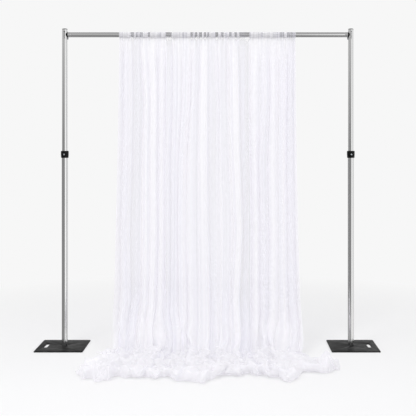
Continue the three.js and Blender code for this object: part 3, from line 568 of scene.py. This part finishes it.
for name, side, pole in (("left", -1, left_pole), ("right", 1, right_pole)):
    outwards, inwards = (math.pi, 0.0) if side < 0 else (0.0, math.pi)
    foot_plate(name, (pole.x, pole_y, 0), outwards)
    poles(name, (pole.x, pole_y, 0))
    height_lock(name, (pole.x, pole_y, collar_foot))
    bar_half(name, side)
    bar_end_pieces(name, (pole.x, pole_y, bar_z), inwards)
joiner_strip()


# ---- The drape: one sheet, modelled over the bar and down, and simulated where it lies. In metres
rng = np.random.default_rng(7)
knee, columns, lying_rows, hanging_rows, fall_frames = 0.50, 201, 96, 28, 24
touching = 0.36  # the share of the lower rows that are still above the floor
pocket_radius, pocket_sag, pocket_drop, pocket_steps = 0.0244, 0.0014, 0.0262, 16

# Where the ridges of the main folds run: metres across, at these heights
ridge_heights = np.array([2.543, 2.100, 1.589, 0.992, 0.395, 0.122])
ridges = np.array([
    [-0.754, -0.758, -0.768, -0.782, -0.794, -0.804],
    [-0.689, -0.689, -0.689, -0.710, -0.697, -0.736],
    [-0.595, -0.578, -0.595, -0.604, -0.604, -0.638],
    [-0.544, -0.518, -0.527, -0.527, -0.535, -0.570],
    [-0.467, -0.459, -0.467, -0.459, -0.476, -0.493],
    [-0.391, -0.391, -0.391, -0.391, -0.399, -0.408],
    [-0.331, -0.331, -0.348, -0.339, -0.339, -0.348],
    [-0.271, -0.271, -0.288, -0.288, -0.297, -0.292],
    [-0.169, -0.177, -0.220, -0.229, -0.212, -0.203],
    [-0.101, -0.118, -0.135, -0.135, -0.135, -0.122],
    [-0.024, -0.033, -0.033, -0.024, -0.007, -0.007],
    [0.053, 0.070, 0.061, 0.061, 0.065, 0.078],
    [0.138, 0.134, 0.146, 0.172, 0.155, 0.146],
    [0.232, 0.240, 0.249, 0.274, 0.240, 0.257],
    [0.325, 0.325, 0.334, 0.343, 0.334, 0.343],
    [0.402, 0.394, 0.402, 0.411, 0.411, 0.411],
    [0.487, 0.496, 0.462, 0.479, 0.479, 0.470],
    [0.564, 0.564, 0.556, 0.564, 0.556, 0.556],
    [0.649, 0.649, 0.641, 0.641, 0.649, 0.649],
    [0.713, 0.709, 0.709, 0.718, 0.726, 0.735],
    [0.747, 0.749, 0.757, 0.769, 0.786, 0.794],
])
folds = len(ridges) - 1
fold_depth = rng.uniform(0.5, 1.4, folds + 1)
fold_lean = rng.uniform(-0.35, 0.35, folds + 1)
fold_split = rng.uniform(-0.45, 0.45, folds + 1)

# The hem's line on the floor: share across, metres across, metres in front of the uprights
hem = np.array([
    [0.00, -0.985, -0.905], [0.05, -0.885, -1.055], [0.10, -0.795, -1.120], [0.15, -0.710, -1.100],
    [0.19, -0.650, -1.005], [0.25, -0.505, -1.035], [0.31, -0.392, -1.035], [0.36, -0.285, -1.025],
    [0.40, -0.230, -1.070], [0.45, -0.130, -1.135], [0.50, 0.005, -1.170], [0.54, 0.075, -1.030],
    [0.58, 0.150, -0.980], [0.64, 0.260, -0.955], [0.68, 0.335, -0.955], [0.73, 0.440, -0.980],
    [0.77, 0.510, -1.000], [0.80, 0.565, -1.085], [0.835, 0.622, -1.145], [0.865, 0.675, -1.095],
    [0.89, 0.735, -0.910], [0.92, 0.850, -0.880], [0.95, 0.955, -0.890], [0.975, 1.020, -0.850],
    [0.99, 1.045, -0.700], [1.00, 1.055, -0.560],
])

# Where the gathers leave the pocket thin, and the bands of the cloth under it that are thin and
# painted greyer as fold shade: metres across, half width and strength
pocket_gaps = (
    (-0.640, 0.014, 0.9), (-0.598, 0.009, 0.8), (-0.566, 0.012, 0.8), (-0.500, 0.010, 0.8),
    (-0.331, 0.024, 1.6), (-0.134, 0.011, 1.2), (-0.100, 0.009, 1.2), (-0.062, 0.012, 1.2),
    (-0.022, 0.009, 1.1), (0.004, 0.008, 1.0), (0.076, 0.013, 1.2), (0.126, 0.010, 1.0),
    (0.192, 0.010, 1.0), (0.240, 0.012, 1.1), (0.312, 0.042, 1.9), (0.620, 0.030, 0.5),
    (0.705, 0.034, 0.7),
)
thin_and_shaded_bands = (
    (-0.695, 0.016, 0.5), (-0.618, 0.040, 0.9), (-0.524, 0.012, 0.5), (-0.422, 0.012, 0.5),
    (-0.324, 0.022, 1.1), (-0.269, 0.010, 0.5), (-0.175, 0.012, 0.5), (-0.088, 0.020, 0.8),
    (0.030, 0.030, 0.8), (0.135, 0.028, 0.8), (0.200, 0.012, 0.6), (0.298, 0.046, 1.5),
    (0.515, 0.022, 0.5), (0.635, 0.012, 0.4), (0.712, 0.024, 0.6),
)


def ease(t):
    """A smooth step from 0 to 1."""
    t = np.clip(t, 0, 1)
    return t * t * (3 - 2 * t)


def hanging(u, z):
    """Places across and in depth of the hanging cloth, at shares u across and height z."""
    k = u * folds
    i = np.clip(np.floor(k).astype(int), 0, folds - 1)
    w = k - i
    paths = np.array([np.interp(z, ridge_heights[::-1], path[::-1]) for path in ridges])
    x = paths[i] + (paths[i + 1] - paths[i]) * w
    # The folds are shallow at the pocket, open out below it and deepen towards the floor
    fall = ease((2.63 - z) / 0.25)
    deep = 0.007 + 0.018 * fall + 0.014 * ease((0.9 - z) / 0.9)
    depth, split, lean = (v[i] + (v[i + 1] - v[i]) * ease(w)
                          for v in (fold_depth, fold_split, fold_lean))
    turn = TURN * w
    y = -deep * depth * (np.cos(turn) + split * np.cos(2 * turn + 1.0))
    x = x + deep * np.sin(turn) * (0.28 * depth + 0.3 * lean)
    return x, y


def rumple(x, y, longest, shortest, count, turn):
    """Smooth random waves over the floor, with lengths in metres and a spread of about one."""
    total = np.zeros_like(x)
    for _ in range(count):
        angle, phase = rng.uniform(0, TURN, 2)
        k = TURN / rng.uniform(shortest, longest)
        along, over = np.cos(angle + turn), np.sin(angle + turn)
        bent = 1.3 * np.sin(0.6 * k * (along * y - over * x) + phase)
        total += np.cos(k * (along * x + over * y) + phase + bent)
    return total * math.sqrt(2 / count)


def lying_start():
    """The lower part of the sheet before it falls: down from the knee in a forward sweep, then out
    over the floor in loose rumples that hold the spare length, to the hem's line."""
    u = np.linspace(0, 1, columns)[None, :]
    s = np.linspace(0, 1, lying_rows)[:, None]
    hem_x, hem_y = (np.interp(u, hem[:, 0], hem[:, k]) for k in (1, 2))
    # The hem runs in irregular lobes, and its last tenth is tucked back under
    lobes = np.sin(TURN * 14 * u + 1.7 * np.sin(TURN * 4 * u))
    lobes = lobes + 0.7 * np.sin(TURN * 23 * u + 2 * np.sin(TURN * 6 * u) + 2)
    hem_y = hem_y + 0.024 * lobes + 0.010
    down = np.clip(s / touching, 0, 1)
    out = np.clip((s - touching) / (1 - touching), 0, 1)
    under = ease((out - 0.90) / 0.10)
    height = knee * (1 - down) ** 1.15 + 0.012
    hung = [hanging(u[0], max(0.05, float(level))) for level in knee * (1 - down[:, 0])]
    foot_x, foot_y = (np.array([place[k] for place in hung]) for k in (0, 1))
    # The side edges hang longer before they spread
    bend = 1.05 + 1.9 * ease((0.10 - u) / 0.10) + 1.2 * ease((u - 0.93) / 0.07)
    sweep = -0.33 * (0.85 + 0.15 * np.sin(TURN * 3.2 * u + 1)) * down**2.3
    touch_y = foot_y + sweep
    x = foot_x + (hem_x - foot_x) * (0.10 * down**2 + 0.90 * out**bend)
    y = touch_y * (1 - out) + hem_y * out + 0.085 * under
    # The hanging folds fade out over the floor, loose rumples take over, and a roll ends them
    ridge = 0.5 + 0.5 * np.cos(TURN * u * folds)
    fading = ease((s - 0.2) / 0.15) * ease((0.55 - out) / 0.55)
    loose = ease((s - 0.33) / 0.2) * (1 - 0.75 * ease((out - 0.9) / 0.1))
    big, small = rumple(x, y, 0.26, 0.15, 9, 0.3), rumple(x, y, 0.13, 0.08, 14, 1.1)
    fullness = 0.85 + 0.3 * np.sin(TURN * 5.5 * u + 2 * np.sin(TURN * 2 * u)) + 0.3 * lobes
    roll = np.exp(-(((out - 0.86) / 0.09) ** 2)) * fullness
    z = height + 0.03 * ridge * fading
    z = z + loose * (0.026 + 0.012 * big + 0.026 * (1 - np.abs(small)))
    z = z + 0.040 * np.clip(roll, 0, 1)
    x = x + loose * 0.012 * rumple(x, y, 0.13, 0.08, 10, 2.0)
    y = y + loose * 0.014 * rumple(x, y, 0.13, 0.08, 10, 2.9)
    z = np.maximum(z * (1 - under), 0.008)
    return np.stack(np.broadcast_arrays(x, y, z), -1)


def grid_faces(rows, width):
    """Four-sided faces between rows of points."""
    at = np.arange(rows * width).reshape(rows, width)
    return np.stack([at[:-1, :-1], at[1:, :-1], at[1:, 1:], at[:-1, 1:]], -1).reshape(-1, 4)


def fallen(start, frames):
    """Lets the sheet fall and crumple on the floor, and gives back its rows of points."""
    mesh = bpy.data.meshes.new("falling_cloth")
    mesh.from_pydata(start.reshape(-1, 3).tolist(), [], grid_faces(len(start), columns).tolist())
    sheet = bpy.data.objects.new("falling_cloth", mesh)
    scene.collection.objects.link(sheet)
    held = sheet.vertex_groups.new(name="held")
    last_row = range(columns * (lying_rows - 1), columns * lying_rows)
    held.add([*range(columns * 2), *last_row], 1.0, "REPLACE")
    ground = as_object("falling_ground", block((-3000, -3000, -200), (3000, 3000, 0)))
    ground.modifiers.new("ground", "COLLISION")
    ground.collision.thickness_outer = 0.006
    ground.collision.cloth_friction = 30
    cloth = sheet.modifiers.new("fall", "CLOTH")
    thread, touch = cloth.settings, cloth.collision_settings
    thread.quality, thread.mass, thread.air_damping = 6, 0.02, 2.0
    thread.tension_stiffness = thread.compression_stiffness = 12
    thread.shear_stiffness, thread.bending_stiffness = 3, 0.3
    thread.tension_damping = thread.compression_damping = thread.shear_damping = 5
    thread.vertex_group_mass = "held"
    touch.distance_min, touch.use_self_collision, touch.self_distance_min = 0.004, True, 0.003
    touch.collision_quality = 2
    cloth.point_cache.frame_start, cloth.point_cache.frame_end = 1, frames
    scene.frame_start, scene.frame_end = 1, frames
    for number in range(1, frames + 1):
        scene.frame_set(number)
    shown = sheet.evaluated_get(bpy.context.evaluated_depsgraph_get())
    places = np.empty(len(shown.data.vertices) * 3, np.float32)
    shown.data.vertices.foreach_get("co", places)
    scene.frame_set(1)
    for made in (sheet, ground):
        bpy.data.objects.remove(made)
    return places.reshape(start.shape).astype(float)


def finer_rows(points, axis):
    """Twice as many steps along an axis, on smooth curves through the points."""
    p = np.moveaxis(points, axis, 0)
    before = np.concatenate([2 * p[:1] - p[1:2], p[:-2]])
    after = np.concatenate([p[2:], 2 * p[-1:] - p[-2:-1]])
    between = (-before + 9 * p[:-1] + 9 * p[1:] - after) / 16
    made = np.empty((2 * len(p) - 1, *p.shape[1:]))
    made[0::2], made[1::2] = p, between
    return np.moveaxis(made, 0, axis)


def relaxed(points, passes):
    """Evens out the sharpest creases, and leaves the edges of the sheet where they are."""
    for _ in range(passes):
        mean = (points[:-2, 1:-1] + points[2:, 1:-1] + points[1:-1, :-2] + points[1:-1, 2:]) / 4
        points[1:-1, 1:-1] += 0.5 * (mean - points[1:-1, 1:-1])
    return points


def settled_sheet(start):
    """The sheet's start above the floor, which passes into the fallen and crumpled sheet on it."""
    share = ease((np.linspace(0, 1, lying_rows) - 0.12) / 0.22)[:, None, None]
    return relaxed(start * (1 - share) + fallen(start, fall_frames) * share, 3)


def drape_points():
    """Rows of points of the whole sheet, around the bar, down, and out over the floor, and how
    densely the cloth is gathered at each, a share that also sets its painted fold shade."""
    start = lying_start()
    lying = settled_sheet(start)
    lying = finer_rows(finer_rows(lying, 0), 1)
    lying[..., 2] = np.maximum(lying[..., 2], 0.002)
    u = np.linspace(0, 1, lying.shape[1])
    # Fine gathers of the pocket, which run down from it and die out
    gathers = sum(np.sin(TURN * turns * u + phase + 2 * np.sin(TURN * turns * u / 5 + phase))
                  for turns, phase in ((23, 0.4), (37, 2.1), (58, 4.0), (83, 1.3))) / 2
    pocket_bottom = bar_z - pocket_drop
    top_x = hanging(u, 2.62)[0]

    def thinned(places, border):
        return sum(strength * ease((half + border / 2 - abs(top_x - place)) / border)
                   for place, half, strength in places)

    # A low share makes the cloth more see-through and paints it greyer, in part as painted shade of
    # the folds
    bunched = np.clip(0.80 + 0.22 * gathers - 0.95 * thinned(pocket_gaps, 0.006), -0.5, 1)
    folded_and_shaded = 0.78 + 0.03 * gathers - 0.52 * np.clip(thinned(thin_and_shaded_bands, 0.014), 0, 1.15)
    rows, gathered = [], []
    for step in range(pocket_steps + 1):
        angle = TURN * step / pocket_steps
        seam = ease(1 - abs(step - pocket_steps) / 4)
        radius = pocket_radius + 0.0006 * gathers + 0.0012 * seam
        height = bar_z - pocket_sag - radius * np.cos(angle)
        rows.append(np.stack([top_x, radius * np.sin(angle), height], 1))
        gathered.append(bunched)
    for step in range(1, hanging_rows):
        share = step / hanging_rows
        z = pocket_bottom - (pocket_bottom - knee - 0.02) * (share**1.25)
        x, y = hanging(u, z)
        dying = np.exp(-(pocket_bottom - z) / 0.16)
        rows.append(np.stack([x, y + 0.0035 * gathers * dying, np.full_like(u, z)], 1))
        near = math.exp(-(pocket_bottom - z) / 0.03)
        gathered.append(near * bunched + (1 - near) * folded_and_shaded)
    rows = np.concatenate([np.array(rows), lying])
    fading = np.linspace(1, 0, len(lying))[:, None] ** 2
    return rows, np.concatenate([gathered, fading * folded_and_shaded + (1 - fading) * 0.85])


def drape():
    """The sheet of cloth, with its own map and the share that it is gathered at each point, which
    also sets how see-through it is and its painted fold shade.
    """
    points, gathered = drape_points()
    points[..., 1] += pole_y
    rows, width = points.shape[:2]
    mesh = bpy.data.meshes.new("sheer_drape")
    mesh.from_pydata(points.reshape(-1, 3).tolist(), [], grid_faces(rows, width).tolist())
    # The cloth's own map in metres: across the width, and along the rows' mean length
    steps = np.linalg.norm(np.diff(points, axis=0), axis=2).mean(1)
    across, along = np.linspace(0, 3.0, width), np.concatenate([[0], np.cumsum(steps)])
    flat = np.stack(np.broadcast_arrays(across[None, :], along[:, None]), -1).reshape(-1, 2)
    corners = np.empty(len(mesh.loops), np.int32)
    mesh.loops.foreach_get("vertex_index", corners)
    own_map = mesh.uv_layers.new(name="cloth")
    own_map.data.foreach_set("uv", flat[corners].ravel().astype(np.float32))
    gather_and_shade = mesh.attributes.new("gather_and_shade", "FLOAT", "POINT")
    gather_and_shade.data.foreach_set("value", gathered.ravel().astype(np.float32))
    mesh.materials.append(voile)
    mesh.shade_smooth()
    made = bpy.data.objects.new("sheer_drape", mesh)
    scene.collection.objects.link(made)
    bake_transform(made)
    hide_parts("drape_pocket", "drape_panel", "drape_puddle")


drape()


# ---- Floor, world and lamps
def pale_floor():
    """Seamless pale paper. Far from the backdrop, the camera sees the world's own colour, and away
    from its middle, reflections see the studio below instead of the paper."""
    made, tree = new_material("seamless_paper")
    place = add(tree, "TexCoord").outputs["Object"]
    distance = add(tree, "VectorMath", {0: place}, operation="LENGTH").outputs["Value"]
    far, aside = (
        add(tree, "MapRange", {
            "Value": distance, "From Min": near, "From Max": away, "To Min": 0, "To Max": 1})
        for near, away in ((1.9, 4.2), (0.3, 1.5)))
    scaled = add(tree, "Mapping", {"Vector": place, "Scale": (500, 500, 500)})
    fibre = add(tree, "TexNoise", {
        "Vector": scaled, "Scale": 1.0, "Detail": 2, "Roughness": 0.55})
    tone = add(tree, "ValToRGB", {"Fac": fibre}, stops=((0.3, "EFEFEF"), (0.7, "F1F1F1")))
    paper = add(tree, "BsdfPrincipled", {
        "Base Color": tone, "Roughness": 0.8, "Specular IOR Level": 0.2})
    beyond = add(tree, "Emission", {"Color": hex_colour("F7F7F7"), "Strength": 1.0})
    path = add(tree, "LightPath").outputs
    seen = add(tree, "Math", {0: far, 1: path["Is Camera Ray"]}, operation="MULTIPLY")
    mirrored = add(tree, "Math", {0: aside, 1: path["Is Glossy Ray"]}, operation="MULTIPLY")
    open_studio = add(tree, "BsdfTransparent")
    surface = add(tree, "MixShader", {0: seen, 1: paper, 2: beyond})
    surface = add(tree, "MixShader", {0: mirrored, 1: surface, 2: open_studio})
    add(tree, "OutputMaterial", {"Surface": surface})
    return made


def pale_studio():
    """The world. The camera sees one pale grey, and surfaces get an even light. Reflections see a
    studio: from its left side over the front, right and back, darker walls at the front left and
    one tall bright window light at the front right, under a ceiling that darkens upwards."""
    world = bpy.data.worlds.new("pale_studio")
    world.use_nodes = True
    tree = world.node_tree
    tree.nodes.clear()
    toward = add(tree, "TexCoord").outputs["Generated"]
    around = add(tree, "TexGradient", {"Vector": toward}, gradient_type="RADIAL").outputs["Fac"]
    walls = add(tree, "ValToRGB", {"Fac": around}, stops=(
        (0.0, "828282"), (0.27, "868686"), (0.31, "FFFFFF"), (0.38, "FFFFFF"), (0.42, "CCCCCC"),
        (0.64, "D0D0D0"), (0.74, "A8A8A8"), (0.95, "828282")))
    height = add(tree, "SeparateXYZ", {0: toward}).outputs["Z"]
    ceiling = add(tree, "ValToRGB", {"Fac": height},
                  stops=((0.25, "D6D6D6"), (0.7, "B0B0B0"), (1.0, "808080")))
    raised = add(tree, "MapRange", {
        "Value": height, "From Min": 0.0, "From Max": 0.25, "To Min": 0, "To Max": 1})
    lowered = add(tree, "MapRange", {
        "Value": height, "From Min": -0.42, "From Max": -0.28, "To Min": 1, "To Max": 0})
    studio = add(tree, "Mix", {0: raised, 6: walls, 7: ceiling}, data_type="RGBA").outputs[2]
    studio = add(tree, "Mix", {0: lowered, 6: studio, 7: hex_colour("8C8C8C")},
                 data_type="RGBA").outputs[2]
    mirrored = add(tree, "Background", {"Color": studio, "Strength": 1.7})
    ambient = add(tree, "Background", {"Color": hex_colour("FEFEFF"), "Strength": 0.81})
    behind = add(tree, "Background", {"Color": hex_colour("F7F7F7"), "Strength": 1.0})
    path = add(tree, "LightPath").outputs
    seen = add(tree, "Math", {0: path["Is Camera Ray"], 1: path["Is Transmission Ray"]},
               operation="MAXIMUM")
    unseen = add(tree, "MixShader", {0: path["Is Glossy Ray"], 1: ambient, 2: mirrored})
    surface = add(tree, "MixShader", {0: seen, 1: unseen, 2: behind})
    add(tree, "OutputWorld", {"Surface": surface})
    return world


def lamp(name, place, aim, size, watts):
    light = bpy.data.lights.new(name, "AREA")
    light.shape, light.size, light.energy = "SQUARE", size, watts
    made = bpy.data.objects.new(name, light)
    made.location = place
    made.rotation_euler = (Vector(aim) - Vector(place)).to_track_quat("-Z", "Y").to_euler()
    made.visible_glossy = False
    scene.collection.objects.link(made)


ground = bmesh.new()
bmesh.ops.create_grid(ground, x_segments=8, y_segments=8, size=30)
floor = as_object("studio_floor", ground)
floor.data.materials.append(pale_floor())

scene.world = pale_studio()
lamp("key_light", (-3.2, pole_y - 5.0, 6.0), (0, pole_y - 0.2, 0.8), 2.6, 113)
lamp("fill_light", (4.2, pole_y - 4.5, 5.0), (0, pole_y - 0.2, 1.0), 3.2, 46)
lamp("top_light", (0.2, pole_y + 0.3, 6.5), (0.1, pole_y + 0.1, 0), 3.4, 62)
